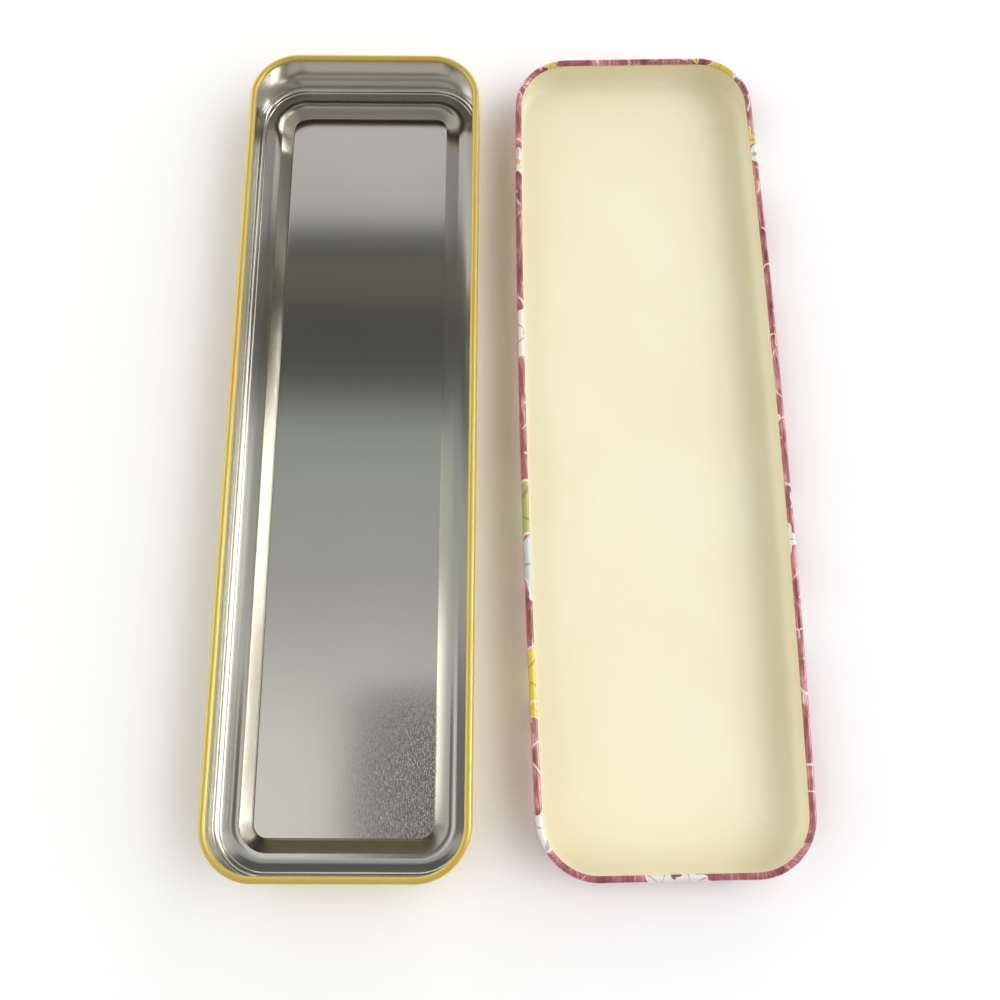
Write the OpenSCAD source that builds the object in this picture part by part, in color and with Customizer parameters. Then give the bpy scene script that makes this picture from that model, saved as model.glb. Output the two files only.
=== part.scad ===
// A flat two-piece pencil tin: a deep base tray and a shallower slip-on lid,
// each drawn from one sheet of tinplate and finished with an inward curled rim.
// The lid lies upside down beside the open base, on the same surface.
// Z = 0 is that surface, and the origin is the centre of the base's underside.

/* [Base] */
// Outside length of the base
base_l = 188; // [150:1:240]
// Outside width of the base
base_w = 54.1; // [45:0.1:90]
// Height of the base, from the surface to the top of its rim
base_h = 14.6; // [12:0.1:30]
// Outside corner radius of the base, seen from above
base_corner_r = 11.3; // [10:0.1:20]
// Width of the curled rim of the base
base_hem = 1.55; // [1.3:0.05:2]

/* [Base floor] */
// Inside radius of the bend at the foot of the wall
foot_r = 0.8; // [0.6:0.05:1]
// Height of the floor's outer edge above the ring that the tin stands on
shoulder_rise = 0.8; // [0.5:0.05:1.5]
// Radius of the hollow between the standing ring and the slope up to that edge
hollow_r = 7; // [3:0.5:8]
// Radius of the fine bead pressed along the foot of the wall
bead_r = 0.2; // [0.1:0.02:0.3]
// Distance from the outside of the wall to the crest of the bead
bead_in = 1.25; // [1.1:0.05:1.6]
// Distance from the outside of the wall to where the slope would meet the ring
ring_in = 3.6; // [3.4:0.1:4.2]
// Distance from there to the foot of the raised panel
ring_w = 1.5; // [1.3:0.1:2]
// Distance from the outside of the wall to the raised panel
panel_in = 8.2; // [7.8:0.1:9]
// Height of the raised panel above the standing ring
panel_rise = 0.5; // [0.3:0.05:1.2]
// Radius of the crease at the foot of the raised panel
crease_r = 0.4; // [0.3:0.1:1]
// Radius of the rounded edge of the raised panel
panel_edge_r = 1.5; // [1:0.5:6]

/* [Lid] */
// Height of the lid, from its flat top to its rim
lid_h = 9.2; // [7:0.1:14]
// Width of the curled rim of the lid
lid_hem = 1.4; // [1.2:0.05:2]
// Clearance between the lid's rim and the base's wall when the lid is on
lid_slip = 0.1; // [0.05:0.05:0.4]
// How far each long side of the lid bows outwards at its middle
lid_bow = 1; // [0.3:0.1:2]
// Inside radius of the bend between the lid's top and its sides
lid_edge_r = 2.2; // [1.5:0.1:3]

/* [Sheet] */
// Thickness of the tinplate
sheet = 0.25; // [0.2:0.01:0.35]
// How far each curl runs on under itself past its lowest point, in degrees
tuck = 20; // [0:5:40]

/* [How the lid lies] */
// Gap between the two trays at the middle of their sides
lie_gap = 9.8; // [4:0.1:40]
// How far the lid lies towards +Y from the base
lie_shift = 1.9; // [-20:0.1:20]
// How far the lid is turned out of line with the base, in degrees
lie_turn = 1.4; // [-3:0.1:3]

/* [Hidden] */

steps = 48;         // segments in a full circle of a small bend
corner_steps = 96;  // segments in a full circle of a tray's corners
bow_steps = 16;     // segments along a bowed side
crease_steps = 4;   // segments in one bend of the floor
run_share = 0.9;    // most of a straight run that one bend of the floor may take up
overlap = 1;        // width of flat floor shared by a swept rim section and its panel
run_on = 0.125;     // degrees that a bowed side runs on into each corner before it is cut

// The lid's outline is the base's, grown by the slip fit and the lid's own curl.
lid_grow = lid_slip + lid_hem;
lid_l = base_l + 2 * lid_grow;
lid_w = base_w + 2 * lid_grow;
lid_corner_r = base_corner_r + lid_grow;
lid_mid_w = lid_w + 2 * lid_bow;
lie_x = base_w / 2 + lie_gap + lid_mid_w / 2;

// Points of the bend at b between the straight runs a-b and b-c. Its radius is
// r, or less where the shorter run leaves no room for it.
function bend(a, b, c, r) =
    let (
        u = (a - b) / norm(a - b),
        v = (c - b) / norm(c - b),
        half = acos(u * v) / 2,
        reach = min(r / tan(half), run_share * norm(a - b), run_share * norm(c - b)),
        fit_r = reach * tan(half),
        centre = b + (u + v) / norm(u + v) * fit_r / sin(half),
        from = b + u * reach - centre,
        to = b + v * reach - centre,
        a0 = atan2(from.y, from.x),
        turn = atan2(to.y, to.x) - a0,
        sweep = turn > 180 ? turn - 360 : turn < -180 ? turn + 360 : turn
    )
    [for (i = [0:crease_steps])
        centre + fit_r * [cos(a0 + sweep * i / crease_steps), sin(a0 + sweep * i / crease_steps)]];

// Middle line of the base's floor, from the foot of the wall to the flat panel,
// with every bend's radius taken at the middle of the sheet.
// X is minus the distance in from the outside of the wall.
function floor_line() =
    let (
        shoulder = [-(sheet + foot_r), sheet / 2 + shoulder_rise],
        ring_outer = [-ring_in, sheet / 2],
        ring_inner = ring_outer - [ring_w, 0],
        panel_edge = [-panel_in, sheet / 2 + panel_rise],
        panel = panel_edge - [overlap, 0]
    )
    concat(
        [shoulder],
        bend(shoulder, ring_outer, ring_inner, hollow_r),
        bend(ring_outer, ring_inner, panel_edge, crease_r),
        bend(ring_inner, panel_edge, panel, panel_edge_r),
        [panel]
    );

// Outline of a sheet of even thickness that follows a line
module strip(line) {
    rise = [0, sheet / 2];
    polygon(concat(
        [for (p = line) p + rise],
        [for (i = [len(line) - 1:-1:0]) line[i] - rise]
    ));
}

// Sweeps a section round a tray. The section's X = 0 is the outside of the
// wall, and -X runs inwards. Each corner and side is an arc or a straight run
// of its own, and they meet on the tangent.
module tray_sweep(l, w, r) {
    for (side = [0, 1], end = [0, 1])
        mirror([side, 0, 0]) mirror([0, end, 0])
            translate([w / 2 - r, l / 2 - r, 0])
                rotate_extrude(angle = 90, $fn = corner_steps) translate([r, 0]) children();
    for (turn = [0, 180])
        rotate([0, 0, turn]) {
            translate([w / 2, l / 2 - r, 0]) rotate([90, 0, 0])
                linear_extrude(l - 2 * r) children();
            translate([-(w / 2 - r), l / 2, 0]) rotate([90, 0, 90])
                linear_extrude(w - 2 * r) children();
        }
}

// The same for a tray whose long sides bow outwards. Each bowed side is one
// wide arc, tangent to the corners' arcs where the two are cut apart.
module bowed_tray_sweep(l, w, r, bow) {
    corner = [w / 2 - r, l / 2 - r, 0];
    to_corner = (corner.y * corner.y / bow + bow) / 2;
    axis_x = corner.x - to_corner + bow;
    half_turn = asin(corner.y / to_corner);
    for (side = [0, 1], end = [0, 1])
        mirror([side, 0, 0]) mirror([0, end, 0]) translate(corner) intersection() {
            rotate_extrude(angle = 90, $fn = corner_steps) translate([r, 0]) children();
            corner_wedge(half_turn, 2 * r);
        }
    for (side = [0, 1]) mirror([side, 0, 0])
        difference() {
            place([axis_x, 0, 0])
                rotate_extrude(
                    start = -half_turn - run_on,
                    angle = 2 * (half_turn + run_on),
                    $fn = bow_steps * 180 / half_turn
                )
                    place([to_corner + r, 0, 0]) children();
            for (end = [0, 1])
                mirror([0, end, 0]) translate(corner) corner_wedge(half_turn, 2 * r);
        }
    for (turn = [0, 180])
        rotate([0, 0, turn]) translate([-corner.x, l / 2, 0]) rotate([90, 0, 90])
            linear_extrude(2 * corner.x) children();
}

// Prism over a corner, from the plane where its side starts to past its end
module corner_wedge(from, size) {
    translate([0, 0, -size])
        linear_extrude(2 * size) polygon([
            [0, 0], size * [cos(from), sin(from)], [size, size], [-size, size], [-size, 0]
        ]);
}

// Moves by v in a coarse and a fine step, so that a long way keeps its last digits
module place(v) {
    coarse = [for (x = v) round(x)];
    translate(coarse) translate(v - coarse) children();
}

// Flat plate with rounded corners
module plate(l, w, r) {
    linear_extrude(sheet) {
        square([w - 2 * r, l], center = true);
        square([w, l - 2 * r], center = true);
        for (x = [-1, 1], y = [-1, 1])
            translate([x * (w / 2 - r), y * (l / 2 - r)]) circle(r, $fn = corner_steps);
    }
}

// Section of a rim: the sheet rolls inwards over the top and tucks back
// towards the wall, with a slit left where it ends
module curl(width, top) {
    r = width / 2;
    translate([-r, top - r]) difference() {
        circle(r, $fn = steps);
        circle(r - sheet, $fn = steps);
        polygon([[0, 0], width * [sin(tuck), -cos(tuck)], [width, -width], [width, 0]]);
    }
}

// Section of a wall that stands on a quarter-circle bend. The outside of the
// bend touches X = 0 and the height `under`, and the wall reaches `high`.
module wall(bend_r, under, high) {
    outer_r = bend_r + sheet;
    translate([-outer_r, under + outer_r]) {
        intersection() {
            difference() {
                circle(outer_r, $fn = steps);
                circle(bend_r, $fn = steps);
            }
            translate([0, -outer_r]) square(outer_r);
        }
        translate([bend_r, 0]) square([sheet, high - under - outer_r]);
    }
}

module base_section() {
    curl(base_hem, base_h);
    wall(foot_r, shoulder_rise, base_h - base_hem / 2);
    strip(floor_line());
    translate([-bead_in, shoulder_rise + sheet]) circle(bead_r, $fn = steps);
}

module lid_section() {
    flat = lid_bow + 2 * overlap;
    curl(lid_hem, lid_h);
    wall(lid_edge_r, 0, lid_h - lid_hem / 2);
    translate([-(lid_edge_r + sheet + flat), 0]) square([flat, sheet]);
}

module base() {
    inset = panel_in + overlap / 2;
    color("#c8b45a") {
        tray_sweep(base_l, base_w, base_corner_r) base_section();
        translate([0, 0, panel_rise])
            plate(base_l - 2 * inset, base_w - 2 * inset, base_corner_r - inset);
    }
}

module lid() {
    inset = lid_edge_r + sheet + overlap;
    color("#bb7276") translate([lie_x, lie_shift, 0]) rotate([0, 0, lie_turn]) {
        bowed_tray_sweep(lid_l, lid_w, lid_corner_r, lid_bow) lid_section();
        plate(lid_l - 2 * inset, lid_w - 2 * inset, lid_corner_r - inset);
    }
}

base();
lid();
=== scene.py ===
"""Looks of a flat two-piece pencil tin: an open base tray and its upturned slip-on lid.

Both trays are rebuilt as fine sheet-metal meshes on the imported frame: one section of
even thickness is swept round each outline, so every bend, the pressed floor and the
curled rim carry their real curvature. The outside of each sheet is printed or lacquered,
and the inside is bare tinplate (base) or cream lacquer (lid).
"""

import math

import bmesh
import bpy
import numpy as np
from mathutils import Matrix, Vector


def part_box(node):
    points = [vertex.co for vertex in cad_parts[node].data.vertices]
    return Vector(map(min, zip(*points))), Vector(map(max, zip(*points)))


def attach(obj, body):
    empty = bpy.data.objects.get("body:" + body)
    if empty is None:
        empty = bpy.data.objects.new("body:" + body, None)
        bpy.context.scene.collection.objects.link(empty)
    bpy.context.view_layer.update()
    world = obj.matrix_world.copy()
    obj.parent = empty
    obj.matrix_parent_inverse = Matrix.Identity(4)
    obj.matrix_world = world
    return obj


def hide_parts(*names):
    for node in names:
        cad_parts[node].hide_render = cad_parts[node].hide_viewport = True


MM = 0.001

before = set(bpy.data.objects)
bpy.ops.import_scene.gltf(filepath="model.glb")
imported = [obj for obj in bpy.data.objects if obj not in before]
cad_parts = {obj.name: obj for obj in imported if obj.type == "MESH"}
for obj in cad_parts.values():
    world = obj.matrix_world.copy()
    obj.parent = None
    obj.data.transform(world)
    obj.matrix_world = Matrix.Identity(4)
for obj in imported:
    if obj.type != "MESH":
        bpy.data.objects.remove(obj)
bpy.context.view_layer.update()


# ---------------------------------------------------------------- sizes, in millimetres

base_low, base_high = (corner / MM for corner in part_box("base"))
lid_low, lid_high = (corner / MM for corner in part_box("lid"))

BASE_W = base_high.x - base_low.x
BASE_L = base_high.y - base_low.y
BASE_H = base_high.z
BASE_CORNER_R = 11.3
BASE_HEM = 1.55

SHEET = 0.25
TUCK = 20               # degrees that each curl runs on past its lowest point
PAINTED_SHADE_BELOW = 0.2   # how far under a curl's middle its tucked print side turns to painted shade

FOOT_R = 0.8
SHOULDER_RISE = 0.8
HOLLOW_R = 7.0
BEAD_R = 0.2
BEAD_IN = 1.25
RING_IN = 3.6
RING_W = 1.5
PANEL_IN = 8.2
PANEL_RISE = 0.5
CREASE_R = 0.4
PANEL_EDGE_R = 1.5
FLANK_SAG = 0.04        # how far the panel's flank hollows below a straight slope
SHOULDER_SAG = 0.012    # the same for the slope that rises to the wall
DRAWN_ABOVE = 2.0       # height above which a sheet is a drawn wall
PRESSED_SHARE = 0.6     # how far the pressing of the floor works its surface, next to a drawn wall
PANEL_MARGIN = 0.2      # strip of the panel's edge that the pressing leaves smooth

LID_H = lid_high.z
LID_HEM = 1.4
LID_SLIP = 0.1
LID_BOW = 1.0
LID_EDGE_R = 2.2
LID_FLAT_IN = 5.2       # how far in from the outside of its wall the lid's section starts
LID_TURN = 1.4          # degrees
LID_GROW = LID_SLIP + LID_HEM
LID_CENTRE = (lid_low + lid_high) / 2

# Mesh steps
ARC_STEP = 7.5          # degrees between the points of a small bend
ARC_RUN = 0.25          # longest step along a wide bend
BEAD_STEPS = 10         # steps over the bead
RUN_STEP = 0.45         # longest step along a straight run of a section
NEXT_TO_BEND = 0.04     # from the end of a straight run to the first point on it
SIDE_STEP = 2.0         # longest step along a straight side of a tray
CORNER_STEPS = 24       # steps round each corner of a tray
FILL_RINGS = 16         # rings of faces between a section's end and the middle of a tray
TOUCHING = 1e-7         # distance in metres within which vertices are joined
SHARP = 50              # degrees between two faces from which their edge is drawn sharp


# ---------------------------------------------------------------- sections

def arc(centre, radius, start, stop):
    """Points of an arc, with angles in degrees."""
    turn = abs(stop - start)
    steps = max(2, math.ceil(turn / ARC_STEP), math.ceil(math.radians(turn) * radius / ARC_RUN))
    angles = np.radians(np.linspace(start, stop, steps + 1))
    return [np.array([centre[0] + radius * math.cos(a), centre[1] + radius * math.sin(a)]) for a in angles]


def fillet(before, corner, after, radius):
    """Points of the arc that rounds the corner of a line."""
    before, corner, after = (np.array(p, float) for p in (before, corner, after))
    to_before = (before - corner) / np.linalg.norm(before - corner)
    to_after = (after - corner) / np.linalg.norm(after - corner)
    half = math.acos(np.clip(to_before @ to_after, -1, 1)) / 2
    middle = to_before + to_after
    centre = corner + middle / np.linalg.norm(middle) * radius / math.sin(half)
    spokes = [corner + v * radius / math.tan(half) - centre for v in (to_before, to_after)]
    start, stop = (math.degrees(math.atan2(v[1], v[0])) for v in spokes)
    turn = (stop - start + 180) % 360 - 180
    return arc(centre, radius, start, start + turn)


def fill_runs(points):
    """Adds points to the straight runs of a line, close together next to each bend."""
    line = [points[0]]
    for a, b in zip(points, points[1:]):
        length = np.linalg.norm(b - a)
        if length > RUN_STEP:
            inner = np.linspace(0, 1, math.ceil(length / RUN_STEP) + 1)[1:-1]
            first = min(NEXT_TO_BEND, length / 8) / length
            line += [a + (b - a) * t for t in (first, *inner, 1 - first)]
        line.append(b)
    return np.array(line)


def rolled_rim(width, top):
    """Middle line of the curl, from the wall up, over and round to its tucked end."""
    r = width / 2
    return arc((-r, top - r), r - SHEET / 2, 0, 270 + TUCK)


def two_faces(line):
    """The print side and the inner side of the sheet whose middle line is given."""
    ahead = np.gradient(line, axis=0)
    ahead /= np.linalg.norm(ahead, axis=1)[:, None]
    left = np.column_stack([-ahead[:, 1], ahead[:, 0]])
    return line - left * SHEET / 2, line + left * SHEET / 2


def sag(x, start, stop, depth):
    """Depth of a shallow hollow between two places."""
    t = (x - start) / (stop - start)
    return depth * 4 * np.clip(t * (1 - t), 0, None)


def base_section():
    """Section of the base from its flat panel to the end of its curl.

    X is minus the distance in from the outside of the wall. The bead stands on the
    inner face alone.
    """
    ring_z = SHEET / 2
    panel_z = ring_z + PANEL_RISE
    slope = SHOULDER_RISE / (RING_IN - SHEET - FOOT_R)
    wall_x = -SHEET / 2
    on_panel = (-PANEL_IN - PANEL_EDGE_R, panel_z)
    panel_edge = (-PANEL_IN, panel_z)
    ring_inner = (-RING_IN - RING_W, ring_z)
    ring_outer = (-RING_IN, ring_z)
    foot = (wall_x, ring_z + slope * (RING_IN + wall_x))
    rim = rolled_rim(BASE_HEM, BASE_H)
    over_bead = [-BEAD_IN - BEAD_R * math.cos(math.pi * i / BEAD_STEPS) for i in range(BEAD_STEPS + 1)]
    bead_run = [np.array([x, ring_z + slope * (RING_IN + x)]) for x in over_bead]
    line = fill_runs(
        fillet(on_panel, panel_edge, ring_inner, PANEL_EDGE_R)
        + fillet(panel_edge, ring_inner, ring_outer, CREASE_R)
        + fillet(ring_inner, ring_outer, foot, HOLLOW_R)
        + bead_run
        + fillet(ring_outer, foot, rim[0], FOOT_R + SHEET / 2)
        + rim
    )
    floor = line[:, 1] < BASE_H / 2
    line[:, 1] -= floor * sag(line[:, 0], -PANEL_IN, -RING_IN - RING_W, FLANK_SAG)
    line[:, 1] -= floor * sag(line[:, 0], -RING_IN + HOLLOW_R * slope / 2, -SHEET - FOOT_R, SHOULDER_SAG)
    printed, bare = two_faces(line)
    rise = np.sqrt(np.clip(BEAD_R**2 - (line[:, 0] + BEAD_IN) ** 2, 0, None))
    bare[:, 1] += floor * rise
    return printed, bare


def lid_section():
    """Section of the lid from its flat top to the end of its curl."""
    bend_r = LID_EDGE_R + SHEET / 2
    wall_x = -SHEET / 2
    rim = rolled_rim(LID_HEM, LID_H)
    start = (-LID_FLAT_IN, SHEET / 2)
    points = [np.array(start)] + fillet(start, (wall_x, SHEET / 2), rim[0], bend_r) + rim
    return two_faces(fill_runs(points))


# ---------------------------------------------------------------- sweeps

def outline(length, width, radius, bow):
    """Stations round a tray: points of the core line, and the directions outwards.

    A point at distance d inside the outline is core + (radius - d) * outwards.
    """
    corner = np.array([width / 2 - radius, length / 2 - radius])
    if bow:
        side_r = (corner[1] ** 2 / bow + bow) / 2
        half_turn = math.degrees(math.asin(corner[1] / side_r))
        axis = corner[0] + bow - side_r
    else:
        half_turn = 0
    core, out = [], []

    def add(point, angle):
        core.append(point)
        out.append((math.cos(math.radians(angle)), math.sin(math.radians(angle))))

    steps = math.ceil(2 * corner[1] / SIDE_STEP)
    for i in range(steps):
        t = 2 * i / steps - 1
        if bow:
            angle = half_turn * t
            turn = math.radians(angle)
            add((axis + side_r * math.cos(turn), side_r * math.sin(turn)), angle)
        else:
            add((corner[0], corner[1] * t), 0)
    for i in range(CORNER_STEPS):
        add(tuple(corner), half_turn + (90 - half_turn) * i / CORNER_STEPS)
    steps = math.ceil(2 * corner[0] / SIDE_STEP)
    for i in range(steps):
        add((corner[0] * (1 - 2 * i / steps), corner[1]), 90)
    for i in range(CORNER_STEPS):
        add((-corner[0], corner[1]), 90 + (90 - half_turn) * i / CORNER_STEPS)
    core, out = np.array(core), np.array(out)
    return np.vstack([core, -core]), np.vstack([out, -out])


def tray(name, section, length, width, radius, curl_mid, bow=0.0, pressed_zone=0.0):
    """Mesh of a drawn tray, from a section of two faces and an outline.

    Material 0 is the print side, 1 the inner side, and 2 the cut edge of the sheet and painted
    shade on the inside of the curl, from the height curl_mid up, and on the print side tucked under it.
    The UV map is the flat blank that the tray is drawn from, in metres. The attribute
    "worked" is 0 on flat sheet and a bead, PRESSED_SHARE on a floor pressed out of flat, up
    to pressed_zone in from the wall, and 1 on the drawn walls.
    """
    core, out = outline(length, width, radius, bow)
    stations = len(core)
    verts, blanks, pressed = [], [], []

    def ring(points, z, blank, amount):
        """Adds a ring of vertices and gives the index of its first one."""
        verts.append(np.column_stack([points, np.full(stations, z)]))
        blanks.append(blank)
        pressed.append(np.full(stations, amount))
        return stations * (len(verts) - 1)

    def face_rings(line):
        """Rings of one face of the sheet, from the curl's end to the middle of the tray."""
        run = np.concatenate([[0], np.cumsum(np.linalg.norm(np.diff(line, axis=0), axis=1))])
        first = radius + line[0, 0]
        made = []
        for (x, z), along in reversed(list(zip(line, run))):
            on_bead = abs(x + BEAD_IN) < BEAD_R
            pressed_here = -x < pressed_zone and not on_bead
            amount = 1.0 if z > DRAWN_ABOVE else PRESSED_SHARE * pressed_here
            made.append(ring(core + out * (radius + x), z, core + out * (first + along), amount))
        start = core + out * first
        spine = np.column_stack([
            np.zeros(stations),
            np.clip(start[:, 1], -(length - width) / 2, (length - width) / 2),
        ])
        for k in range(1, FILL_RINGS + 1):
            points = start + (spine - start) * k / FILL_RINGS
            made.append(ring(points, line[0, 1], points, 0.0))
        return made

    printed, inner = section
    print_rings = face_rings(printed)
    inner_rings = face_rings(inner)
    faces, slots = [], []

    def band(a, b, slot):
        for i in range(stations):
            j = (i + 1) % stations
            faces.append((a + i, a + j, b + j, b + i))
            slots.append(slot)

    # Painted shade: material 2 darkens the print side tucked under the curl and the inside of the curl.
    tucked = np.cumprod(printed[::-1, 1] < curl_mid - PAINTED_SHADE_BELOW).tolist() + [0] * FILL_RINGS
    for a, b, hidden in zip(print_rings, print_rings[1:], tucked[1:]):
        band(a, b, 2 if hidden else 0)
    in_curl = (inner[::-1, 1] > curl_mid).tolist() + [False] * FILL_RINGS
    for a, b, hidden in zip(inner_rings, inner_rings[1:], in_curl[1:]):
        band(b, a, 2 if hidden else 1)
    band(inner_rings[0], print_rings[0], 2)

    positions = np.vstack(verts) * MM
    blank = np.vstack(blanks)
    mesh = bpy.data.meshes.new(name)
    mesh.from_pydata(positions.tolist(), [], faces)
    mesh.polygons.foreach_set("material_index", slots)
    uv = mesh.uv_layers.new(name="blank")
    loops = np.empty(len(mesh.loops), np.int32)
    mesh.loops.foreach_get("vertex_index", loops)
    uv.uv.foreach_set("vector", (blank[loops] * MM).ravel())
    worked = mesh.attributes.new("worked", "FLOAT", "POINT")
    worked.data.foreach_set("value", np.concatenate(pressed))
    mesh.polygons.foreach_set("use_smooth", np.ones(len(faces), bool))
    mesh.update()
    return mesh


def clean(mesh):
    """Joins the vertices that meet on the middle line and turns every face outwards."""
    work = bmesh.new()
    work.from_mesh(mesh)
    bmesh.ops.remove_doubles(work, verts=work.verts, dist=TOUCHING)
    bmesh.ops.dissolve_degenerate(work, edges=work.edges, dist=TOUCHING)
    bmesh.ops.recalc_face_normals(work, faces=work.faces)
    work.to_mesh(mesh)
    work.free()
    mesh.set_sharp_from_angle(angle=math.radians(SHARP))


def place(mesh, centre, turn):
    """Turns and moves a mesh built about the origin to its place in the frame."""
    spot = Matrix.Translation(Vector((centre.x, centre.y, 0)) * MM)
    mesh.transform(spot @ Matrix.Rotation(math.radians(turn), 4, "Z"))


def add_piece(name, mesh, materials, body):
    """Dresses one body of the frame with a mesh and its materials."""
    for material in materials:
        mesh.materials.append(material)
    piece = bpy.data.objects.new(name, mesh)
    bpy.context.scene.collection.objects.link(piece)
    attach(piece, body)
    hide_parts(body)
    return piece


# ---------------------------------------------------------------- node helpers

class Nodes:
    """A short way to write a node tree. Values may be numbers, colours, sockets or nodes."""

    def __init__(self, tree):
        self.tree = tree
        tree.nodes.clear()

    def add(self, kind, inputs=None, **settings):
        node = self.tree.nodes.new("ShaderNode" + kind)
        for key, value in settings.items():
            setattr(node, key, value)
        for key, value in (inputs or {}).items():
            self.set(node.inputs[key], value)
        return node

    def set(self, socket, value):
        if isinstance(value, bpy.types.Node):
            value = next(s for s in value.outputs if s.enabled)
        if isinstance(value, bpy.types.NodeSocket):
            self.tree.links.new(value, socket)
        elif isinstance(value, tuple) and len(value) == 3 and socket.type == "RGBA":
            socket.default_value = (*value, 1)
        else:
            socket.default_value = value

    def math(self, operation, *values):
        node = self.add("Math", operation=operation)
        for socket, value in zip(node.inputs, values):
            self.set(socket, value)
        return node

    def smooth(self, value, low, high):
        """Smooth step of a value, from 0 at low to 1 at high. Low may be the greater of the two."""
        return self.add(
            "MapRange", {"Value": value, "From Min": low, "From Max": high}, interpolation_type="SMOOTHSTEP",
        )

    def noise(self, vector, scale, detail=2.0, distortion=0.0):
        return self.add(
            "TexNoise",
            {"Vector": vector, "Scale": scale, "Detail": detail, "Distortion": distortion},
        )

    def stretch(self, vector, factors):
        return self.add("Mapping", {"Vector": vector, "Scale": factors})

    def spot(self, vector, centre, reach):
        """1 at a centre, falling smoothly to 0 on an ellipse round it."""
        moved = self.add("Mapping", {"Vector": vector, "Location": (*centre, 0)}, vector_type="TEXTURE")
        scaled = self.stretch(moved, (1 / reach[0], 1 / reach[1], 0))
        return self.smooth(self.add("VectorMath", {0: scaled}, operation="LENGTH").outputs[1], 1.0, 0.3)

    def mix(self, factor, a, b, mode="MIX"):
        node = self.add("Mix", data_type="RGBA", blend_type=mode)
        for index, value in ((0, factor), (6, a), (7, b)):
            self.set(node.inputs[index], value)
        return node.outputs[2]

    def ramp(self, value, stops, interpolation="LINEAR"):
        node = self.add("ValToRGB", {"Fac": value})
        node.color_ramp.interpolation = interpolation
        elements = node.color_ramp.elements
        while len(elements) < len(stops):
            elements.new(1)
        for element, (position, colour) in zip(elements, stops):
            element.position = position
            element.color = (*colour, 1)
        return node.outputs["Color"]

    def level(self, angle, stops):
        """Grey level that follows an angle, from stops at angles between -90 and 90 degrees."""
        share = self.math("MULTIPLY_ADD", angle, 1 / 180, 0.5)
        return self.ramp(share, [((a + 90) / 180, (v, v, v)) for a, v in stops])


def new_material(name):
    material = bpy.data.materials.new(name)
    material.use_nodes = True
    return material, Nodes(material.node_tree)


def finish_material(nodes, shader):
    nodes.add("OutputMaterial", {"Surface": shader.outputs[0]})


# ---------------------------------------------------------------- materials
# Their patterns are drawn on the flat blanks. Places on a blank are in metres, and the scales
# of noise and cells are in cells per metre.

def tinplate():
    """Bare tinplate: a bright floor, with orange peel where it was worked and painted shade in streaks over
    one patch of it, and satin walls.
    """
    material, n = new_material("tinplate")
    blank = n.add("UVMap", uv_map="blank").outputs[0]
    worked = n.add("Attribute", attribute_name="worked").outputs["Fac"]
    cloud = n.noise(blank, 22.0, 2.0)
    grain = n.noise(n.stretch(blank, (900, 160, 1)), 1.0, 2.0)
    peel = n.noise(n.stretch(blank, (4800, 1600, 1)), 1.0, 1.0)
    specks = n.smooth(n.noise(n.stretch(blank, (7600, 2200, 1)), 1.0, 1.0).outputs[0], 0.50, 0.72)
    patch = n.math("MULTIPLY", n.spot(blank, (0.017, -0.077), (0.020, 0.027)), n.smooth(worked, 0.3, 0.1))
    grain_height = n.math("MULTIPLY", grain.outputs[0], 0.10)
    peel_depth = n.math("MULTIPLY_ADD", worked, 0.6, 0.06)
    height = n.math("MULTIPLY_ADD", peel.outputs[0], peel_depth, grain_height)
    speck_depth = n.math("MULTIPLY_ADD", patch, 1.2, 0.04)
    height = n.math("MULTIPLY_ADD", specks, speck_depth, height)
    bump = n.add("Bump", {"Strength": 1.0, "Distance": 0.000010, "Height": height})
    colour = n.mix(
        n.smooth(cloud.outputs[0], 0.3, 0.7), (0.73, 0.715, 0.645), (0.77, 0.75, 0.68),
    )
    # Painted shade: streaks darken the colour of the patch, a painted darker reflection; its peel bump and
    # roughness are real.
    painted_shade_streaks = n.smooth(n.noise(n.stretch(blank, (4400, 850, 1)), 1.0, 1.0).outputs[0], 0.58, 0.42)
    painted_shade_amount = n.math("MULTIPLY", patch, n.math("MULTIPLY_ADD", painted_shade_streaks, 0.5, 0.12))
    colour = n.mix(painted_shade_amount, colour, (0.30, 0.30, 0.28))
    softness = n.math("MAXIMUM", worked, n.math("MULTIPLY", patch, 0.6))
    roughness = n.add("MapRange", {"Value": softness, "To Min": 0.10, "To Max": 0.16})
    shader = n.add("BsdfPrincipled", {
        "Base Color": colour, "Metallic": 1.0, "Roughness": roughness, "Normal": bump,
    })
    finish_material(n, shader)
    return material


def cut_edge_and_painted_shade():
    """The sheet's raw edge, in dull dark metal; the same dark colour is painted shade inside a curl and
    under it.
    """
    material, n = new_material("cut_edge_and_painted_shade")
    shader = n.add("BsdfPrincipled", {
        "Base Color": (0.13, 0.12, 0.10), "Metallic": 1.0, "Roughness": 0.45,
    })
    finish_material(n, shader)
    return material


def gold_lacquer():
    """Mustard lacquer over tinplate, with warmer stretches along it."""
    material, n = new_material("gold_lacquer")
    blank = n.add("UVMap", uv_map="blank").outputs[0]
    warm = n.noise(blank, 26.0, 1.0)
    colour = n.mix(n.smooth(warm.outputs[0], 0.52, 0.66), (0.72, 0.555, 0.12), (0.76, 0.50, 0.10))
    fine = n.noise(n.stretch(blank, (700, 700, 1)), 1.0, 2.0)
    bump = n.add("Bump", {"Strength": 0.08, "Distance": 0.00003, "Height": fine.outputs[0]})
    shader = n.add("BsdfPrincipled", {
        "Base Color": colour, "Metallic": 0.6, "Roughness": 0.40, "Normal": bump,
        "Coat Weight": 0.25, "Coat Roughness": 0.15,
    })
    finish_material(n, shader)
    return material


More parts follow.
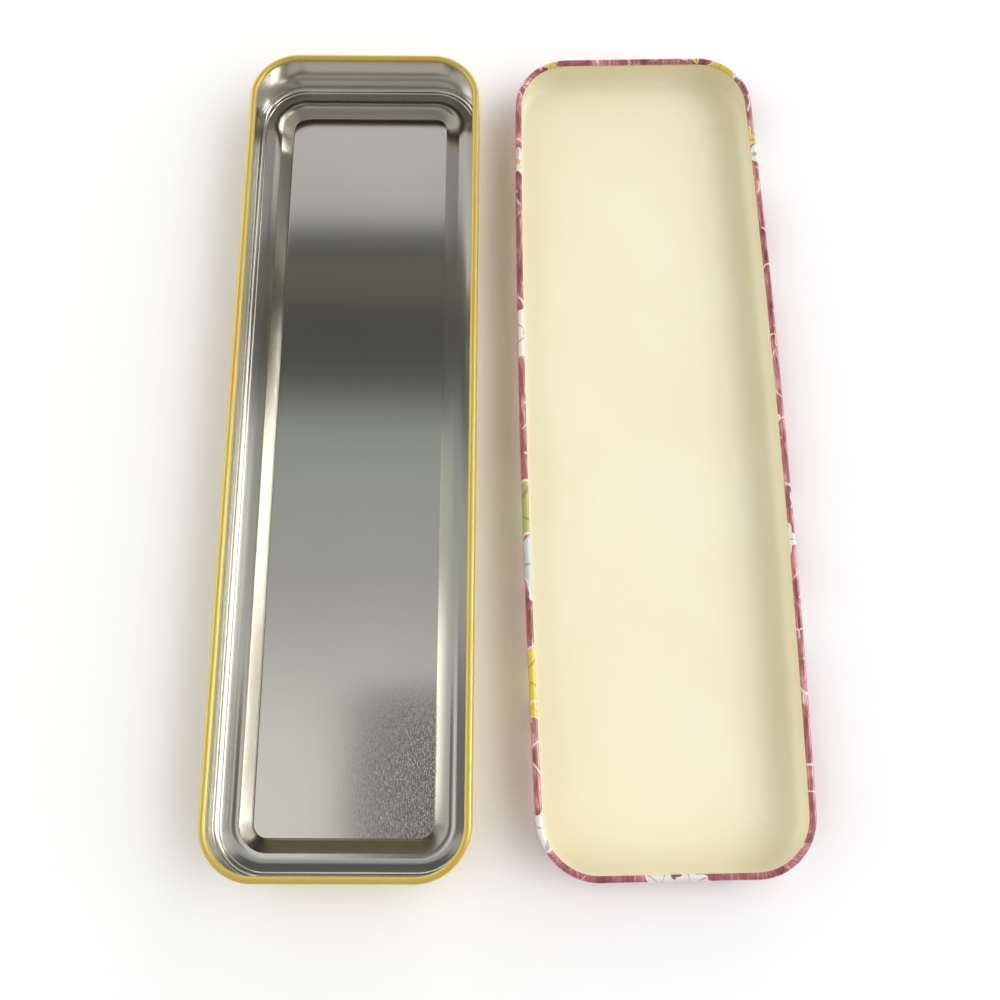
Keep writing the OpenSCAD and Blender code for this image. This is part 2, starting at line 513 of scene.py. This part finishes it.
def cream_lacquer():
    """Smooth cream lacquer with a faint satin texture."""
    material, n = new_material("cream_lacquer")
    blank = n.add("UVMap", uv_map="blank").outputs[0]
    cloud = n.noise(blank, 30.0, 3.0)
    colour = n.mix(n.smooth(cloud.outputs[0], 0.35, 0.65), (0.91, 0.845, 0.60), (0.93, 0.875, 0.645))
    fine = n.noise(n.stretch(blank, (1400, 1400, 1)), 1.0, 2.0)
    bump = n.add("Bump", {"Strength": 0.15, "Distance": 0.00003, "Height": fine.outputs[0]})
    shader = n.add("BsdfPrincipled", {
        "Base Color": colour, "Roughness": 0.42, "Normal": bump,
    })
    finish_material(n, shader)
    return material


def blossoms(n, blank, per_metre, share, colours):
    """Mask and colour of scattered five-petalled flowers, one to a cell at most.

    Lengths within a flower are shares of its cell.
    """
    petal_r, petal_wave, heart_r, outline_w = 0.34, 0.07, 0.08, 0.028
    spot = n.add("TexVoronoi", {"Vector": blank, "Scale": per_metre, "Randomness": 0.75},
                 voronoi_dimensions="2D")
    cell = (per_metre, per_metre, per_metre)
    offset = n.add("VectorMath", operation="SUBTRACT")
    n.set(offset.inputs[0], n.stretch(blank, cell))
    n.set(offset.inputs[1], n.stretch(spot.outputs["Position"], cell))
    split = n.add("SeparateXYZ", {"Vector": offset.outputs[0]})
    angle = n.math("ARCTAN2", split.outputs[1], split.outputs[0])
    pick = n.add("SeparateColor", {"Color": spot.outputs["Color"]})
    turned = n.math("MULTIPLY_ADD", pick.outputs[0], math.tau, angle)
    wave = n.math("COSINE", n.math("MULTIPLY", turned, 5.0))
    inside = n.math("SUBTRACT", n.math("MULTIPLY_ADD", wave, petal_wave, petal_r), spot.outputs["Distance"])
    petal = n.smooth(inside, 0.0, 0.012)
    rim = n.math("SUBTRACT", petal, n.smooth(inside, outline_w - 0.006, outline_w + 0.006))
    vein = n.math("MULTIPLY", n.smooth(wave, 0.90, 0.98), n.smooth(inside, 0.03, 0.06))
    heart = n.smooth(spot.outputs["Distance"], heart_r + 0.005, heart_r - 0.005)
    colour = n.ramp(pick.outputs[1], colours, "CONSTANT")
    colour = n.mix(n.math("MULTIPLY", vein, 0.5), colour, (0.20, 0.06, 0.09))
    colour = n.mix(rim, colour, (0.88, 0.82, 0.80))
    colour = n.mix(heart, colour, (0.75, 0.55, 0.12))
    kept = n.math("MULTIPLY", petal, n.math("LESS_THAN", pick.outputs[2], share))
    return kept, colour


def floral_print():
    """Generic print: a brushed pink ground with pale strokes and scattered flowers."""
    material, n = new_material("floral_print")
    blank = n.add("UVMap", uv_map="blank").outputs[0]
    bristles = n.noise(n.stretch(blank, (1500, 260, 1)), 1.0, 3.0, 0.6)
    strokes = n.noise(n.stretch(blank, (150, 90, 1)), 1.0, 2.0, 1.4)
    blend = n.math("MULTIPLY_ADD", bristles.outputs[0], 0.45, n.math("MULTIPLY", strokes.outputs[0], 0.55))
    ground = n.ramp(blend, [
        (0.38, (0.20, 0.045, 0.06)), (0.46, (0.36, 0.09, 0.11)),
        (0.53, (0.48, 0.15, 0.17)), (0.62, (0.72, 0.34, 0.35)),
    ])
    swirl = n.add("TexVoronoi", {
        "Vector": n.mix(0.0035, blank, n.noise(blank, 130.0, 1.0).outputs["Color"], "LINEAR_LIGHT"),
        "Scale": 150.0,
    }, voronoi_dimensions="2D", feature="DISTANCE_TO_EDGE")
    line = n.smooth(swirl.outputs["Distance"], 0.045, 0.025)
    broken = n.smooth(n.noise(blank, 210.0, 1.0).outputs[0], 0.48, 0.56)
    colour = n.mix(n.math("MULTIPLY", line, broken), ground, (0.86, 0.66, 0.66))
    small, small_colour = blossoms(n, blank, 105.0, 0.30, [
        (0.0, (0.84, 0.84, 0.82)), (0.4, (0.72, 0.22, 0.04)), (0.6, (0.26, 0.13, 0.28)),
        (0.8, (0.78, 0.60, 0.10)),
    ])
    colour = n.mix(small, colour, small_colour)
    large, large_colour = blossoms(n, blank, 44.0, 0.55, [
        (0.0, (0.86, 0.86, 0.84)), (0.22, (0.44, 0.48, 0.14)), (0.38, (0.27, 0.14, 0.30)),
        (0.52, (0.68, 0.17, 0.03)), (0.66, (0.50, 0.03, 0.03)), (0.78, (0.78, 0.60, 0.07)),
        (0.88, (0.56, 0.66, 0.70)),
    ])
    colour = n.mix(large, colour, large_colour)
    shader = n.add("BsdfPrincipled", {
        "Base Color": colour, "Metallic": 0.2, "Roughness": 0.35,
        "Coat Weight": 0.4, "Coat Roughness": 0.12,
    })
    finish_material(n, shader)
    return material


# ---------------------------------------------------------------- surroundings, in metres

TABLE_HALF = 3.0        # from the middle of the table to its edges
CONTACT = 2 * MM        # length under which a ray passes through the table

DARK = (0.09, 0.09, 0.085)
BROWN = (0.06, 0.053, 0.042)
GREY = (0.42, 0.42, 0.40)
SHADE = (0.13, 0.125, 0.11)
BRIGHT = (1.7, 1.7, 1.6)


def floor():
    """A plain white table.

    It is clear from beneath, and to rays that leave a surface within CONTACT of it, so that
    the undersides can be seen and are lit.
    """
    material, n = new_material("white_table")
    white = n.add("BsdfPrincipled", {"Base Color": (0.98, 0.98, 0.98), "Roughness": 0.6})
    clear = n.add("BsdfTransparent")
    close = n.math("LESS_THAN", n.add("LightPath").outputs["Ray Length"], CONTACT)
    unseen = n.math("MAXIMUM", n.add("NewGeometry").outputs["Backfacing"], close)
    finish_material(n, n.add("MixShader", {0: unseen, 1: white.outputs[0], 2: clear.outputs[0]}))
    mesh = bpy.data.meshes.new("table")
    corners = [(x * TABLE_HALF, y * TABLE_HALF, 0) for x, y in ((-1, -1), (1, -1), (1, 1), (-1, 1))]
    mesh.from_pydata(corners, [], [(0, 1, 2, 3)])
    mesh.materials.append(material)
    table = bpy.data.objects.new("table", mesh)
    bpy.context.scene.collection.objects.link(table)


def card(name, height, x_range, y_range, soft_x, soft_y, colour):
    """A soft-edged card over the tins, seen only in their mirror finish.

    The ranges are its lit or dark area, and soft_x and soft_y the widths of its edges.
    """
    material, n = new_material(name)
    split = n.add("SeparateXYZ", {"Vector": n.add("TexCoord").outputs["Object"]})
    shares = []
    for axis, (low, high), soft in ((0, x_range, soft_x), (1, y_range, soft_y)):
        shares.append(n.smooth(split.outputs[axis], low - soft[0], low))
        shares.append(n.smooth(split.outputs[axis], high + soft[1], high))
    amount = shares[0]
    for share in shares[1:]:
        amount = n.math("MULTIPLY", amount, share)
    clear = n.add("BsdfTransparent")
    glow = n.add("Emission", {"Color": colour, "Strength": 1.0})
    both = n.add("MixShader", {0: amount, 1: clear.outputs[0], 2: glow.outputs[0]})
    finish_material(n, both)
    left, right = x_range[0] - soft_x[0], x_range[1] + soft_x[1]
    near, far = y_range[0] - soft_y[0], y_range[1] + soft_y[1]
    mesh = bpy.data.meshes.new(name)
    corners = [(left, near, height), (right, near, height), (right, far, height), (left, far, height)]
    mesh.from_pydata(corners, [], [(0, 1, 2, 3)])
    mesh.materials.append(material)
    sheet = bpy.data.objects.new(name, mesh)
    sheet.visible_camera = False
    sheet.visible_diffuse = False
    sheet.visible_transmission = False
    sheet.visible_shadow = False
    bpy.context.scene.collection.objects.link(sheet)


def cards():
    """What hangs round the tins: bands over both ends, and a screen and a strip on the right."""
    card("low_card", 0.24, (-0.12, 0.12), (0.135, 0.172), (0.02, 0.02), (0.055, 0.027), DARK)
    card("high_card", 1.00, (-0.5, 0.5), (0.46, 0.575), (0.1, 0.1), (0.12, 0.05), DARK)
    card("near_card", 1.02, (-0.45, 0.45), (-0.54, -0.35), (0.1, 0.1), (0.02, 0.05), BROWN)
    card("side_card", 0.236, (0.165, 0.44), (-0.15, 0.27), (0.02, 0.06), (0.05, 0.05), GREY)
    card("end_card", 0.11, (-0.09, 0.05), (0.090, 0.101), (0.03, 0.03), (0.006, 0.006), SHADE)
    card("bright_strip", 0.238, (0.112, 0.135), (-0.075, -0.02), (0.042, 0.01), (0.02, 0.05), BRIGHT)


def dome_light(n, across, along):
    """The smooth dome that lights every matt surface, dimmer straight above and low down at -Y."""
    by_across = n.level(across, [
        (-90, 1.40), (-52, 1.35), (-30, 1.50), (-10, 0.45), (10, 0.10), (26, 1.35),
        (38, 3.00), (50, 3.10), (63, 1.90), (90, 1.60),
    ])
    by_along = n.level(along, [
        (-90, 0.10), (-64, 0.15), (-50, 0.60), (-37, 0.85), (-12, 1.00), (12, 1.20), (25, 0.90),
        (37, 0.55), (50, 0.55), (65, 0.75), (90, 0.75),
    ])
    return n.mix(1.0, by_across, by_along, "MULTIPLY")


def room_light(n, across, along):
    """The room that shiny surfaces mirror: a dim banded ceiling with light panels at its sides."""
    def both(*shares):
        product = shares[0]
        for share in shares[1:]:
            product = n.math("MULTIPLY", product, share)
        return product

    ceiling = n.level(along, [
        (-90, 0.05), (-78, 0.05), (-70, 0.50), (-62, 0.50), (-56, 0.28), (-49, 0.28),
        (-42, 0.45), (-36, 0.62), (-28, 0.57), (-21, 0.72), (-14, 0.66), (-8, 0.80), (3, 0.76),
        (7, 0.57), (11, 0.41), (16, 0.39), (20, 0.33), (23, 0.11), (28, 0.10), (29.5, 0.55),
        (35, 0.60), (42, 0.35), (50, 0.25), (56, 1.35), (90, 1.35),
    ])
    cool = both(n.smooth(along, 7.0, 20.0), n.smooth(along, 31.0, 26.0))
    lit = n.mix(cool, ceiling, (0.96, 1.05, 1.01), "MULTIPLY")

    # A dark thing overhead, as wide as a hand
    overhead = both(
        n.smooth(along, 5.8, 4.6), n.smooth(along, -14.0, -9.0),
        n.smooth(n.math("ABSOLUTE", across), 9.0, 5.0),
    )
    lit = n.mix(overhead, lit, (0.14, 0.135, 0.12))

    # The right of the ceiling, dimmer at both ends than in its middle
    shelf = both(n.smooth(across, 5.0, 17.0), n.smooth(along, 24.0, 15.0))
    shelf_level = n.mix(n.smooth(along, 9.0, 3.0), (0.54, 0.54, 0.51), (0.28, 0.28, 0.26))
    lit = n.mix(shelf, lit, shelf_level)
    right_dusk = both(n.smooth(across, 3.0, 9.0), n.smooth(along, 26.0, 29.0))
    lit = n.mix(n.math("MULTIPLY", right_dusk, 0.5), lit, (0.05, 0.05, 0.05))

    # Shade and a window low on the left
    left_shade = both(
        n.smooth(across, -15.0, -21.0), n.smooth(along, 12.0, 5.0), n.smooth(along, -16.0, -8.0),
    )
    lit = n.mix(left_shade, lit, (0.15, 0.15, 0.145))
    left_window = both(n.smooth(across, -46.0, -56.0), n.smooth(along, -50.0, -20.0))
    lit = n.mix(left_window, lit, (1.6, 1.6, 1.6))

    # A bright panel on the right, a dim gap in it, and a brighter panel below
    near_edge = n.smooth(along, -34.0, -10.0)
    key = both(near_edge, n.smooth(along, 31.0, 27.5), n.smooth(across, 23.0, 27.0))
    key_level = n.level(along, [
        (-14, 0.9), (-5, 5.2), (0, 6.8), (5, 7.6), (8, 5.6), (13, 4.0), (18, 5.0), (23, 5.6),
    ])
    lit = n.mix(key, lit, key_level)
    key_gap = both(n.smooth(across, 36.0, 39.0), n.smooth(across, 50.0, 47.0))
    lit = n.mix(n.math("MULTIPLY", key_gap, 0.8), lit, (0.5, 0.5, 0.49))
    low_key = both(near_edge, n.smooth(along, 60.0, 27.5), n.smooth(across, 50.0, 56.0))
    return n.mix(low_key, lit, (7.6, 7.6, 7.5))


def sky():
    """Soft studio surroundings: a dome for matt surfaces, and a room for shiny ones to mirror.

    The angles are from straight up, towards +X (across) and towards +Y (along). Below the
    table all is white.
    """
    world = bpy.data.worlds.new("studio")
    world.use_nodes = True
    bpy.context.scene.world = world
    n = Nodes(world.node_tree)
    direction = n.add("SeparateXYZ", {"Vector": n.add("TexCoord").outputs["Generated"]})
    x, y, z = direction.outputs
    degrees = 180 / math.pi
    across = n.math("MULTIPLY", n.math("ARCTAN2", x, z), degrees)
    along = n.math("MULTIPLY", n.math("ARCTAN2", y, z), degrees)
    rays = n.add("LightPath").outputs
    shown = n.mix(rays["Is Glossy Ray"], dome_light(n, across, along), room_light(n, across, along))
    shown = n.mix(n.math("LESS_THAN", z, 0.0), shown, (1, 1, 1))
    shown = n.mix(rays["Is Camera Ray"], shown, (1, 1, 1))
    light = n.add("Background", {"Color": shown, "Strength": 1.0})
    n.add("OutputWorld", {"Surface": light.outputs[0]})


def camera():
    """A camera that looks down into both trays, from above their ends at -Y."""
    data = bpy.data.cameras.new("camera")
    data.sensor_width = 36
    data.lens = 39.6
    data.clip_start = 0.01
    eye = bpy.data.objects.new("camera", data)
    eye.location = (0.031386, -0.07757, 0.240607)
    eye.rotation_euler = (0.2646, -0.0054, 0.0038)
    bpy.context.scene.collection.objects.link(eye)
    bpy.context.scene.camera = eye


# ---------------------------------------------------------------- the scene

def build():
    # Dark metal for the sheet's cut edge, also used as painted shade inside and under the curls
    edge = cut_edge_and_painted_shade()
    base_mesh = tray(
        "base_tray", base_section(), BASE_L, BASE_W, BASE_CORNER_R, BASE_H - BASE_HEM / 2,
        pressed_zone=PANEL_IN - PANEL_MARGIN,
    )
    clean(base_mesh)
    add_piece("base_tray", base_mesh, [gold_lacquer(), tinplate(), edge], "base")

    lid_mesh = tray(
        "lid_tray", lid_section(), BASE_L + 2 * LID_GROW, BASE_W + 2 * LID_GROW,
        BASE_CORNER_R + LID_GROW, LID_H - LID_HEM / 2, bow=LID_BOW,
    )
    clean(lid_mesh)
    place(lid_mesh, LID_CENTRE, LID_TURN)
    add_piece("lid_tray", lid_mesh, [floral_print(), cream_lacquer(), edge], "lid")

    floor()
    cards()
    sky()
    camera()
    bpy.context.scene.view_settings.view_transform = "Standard"


build()
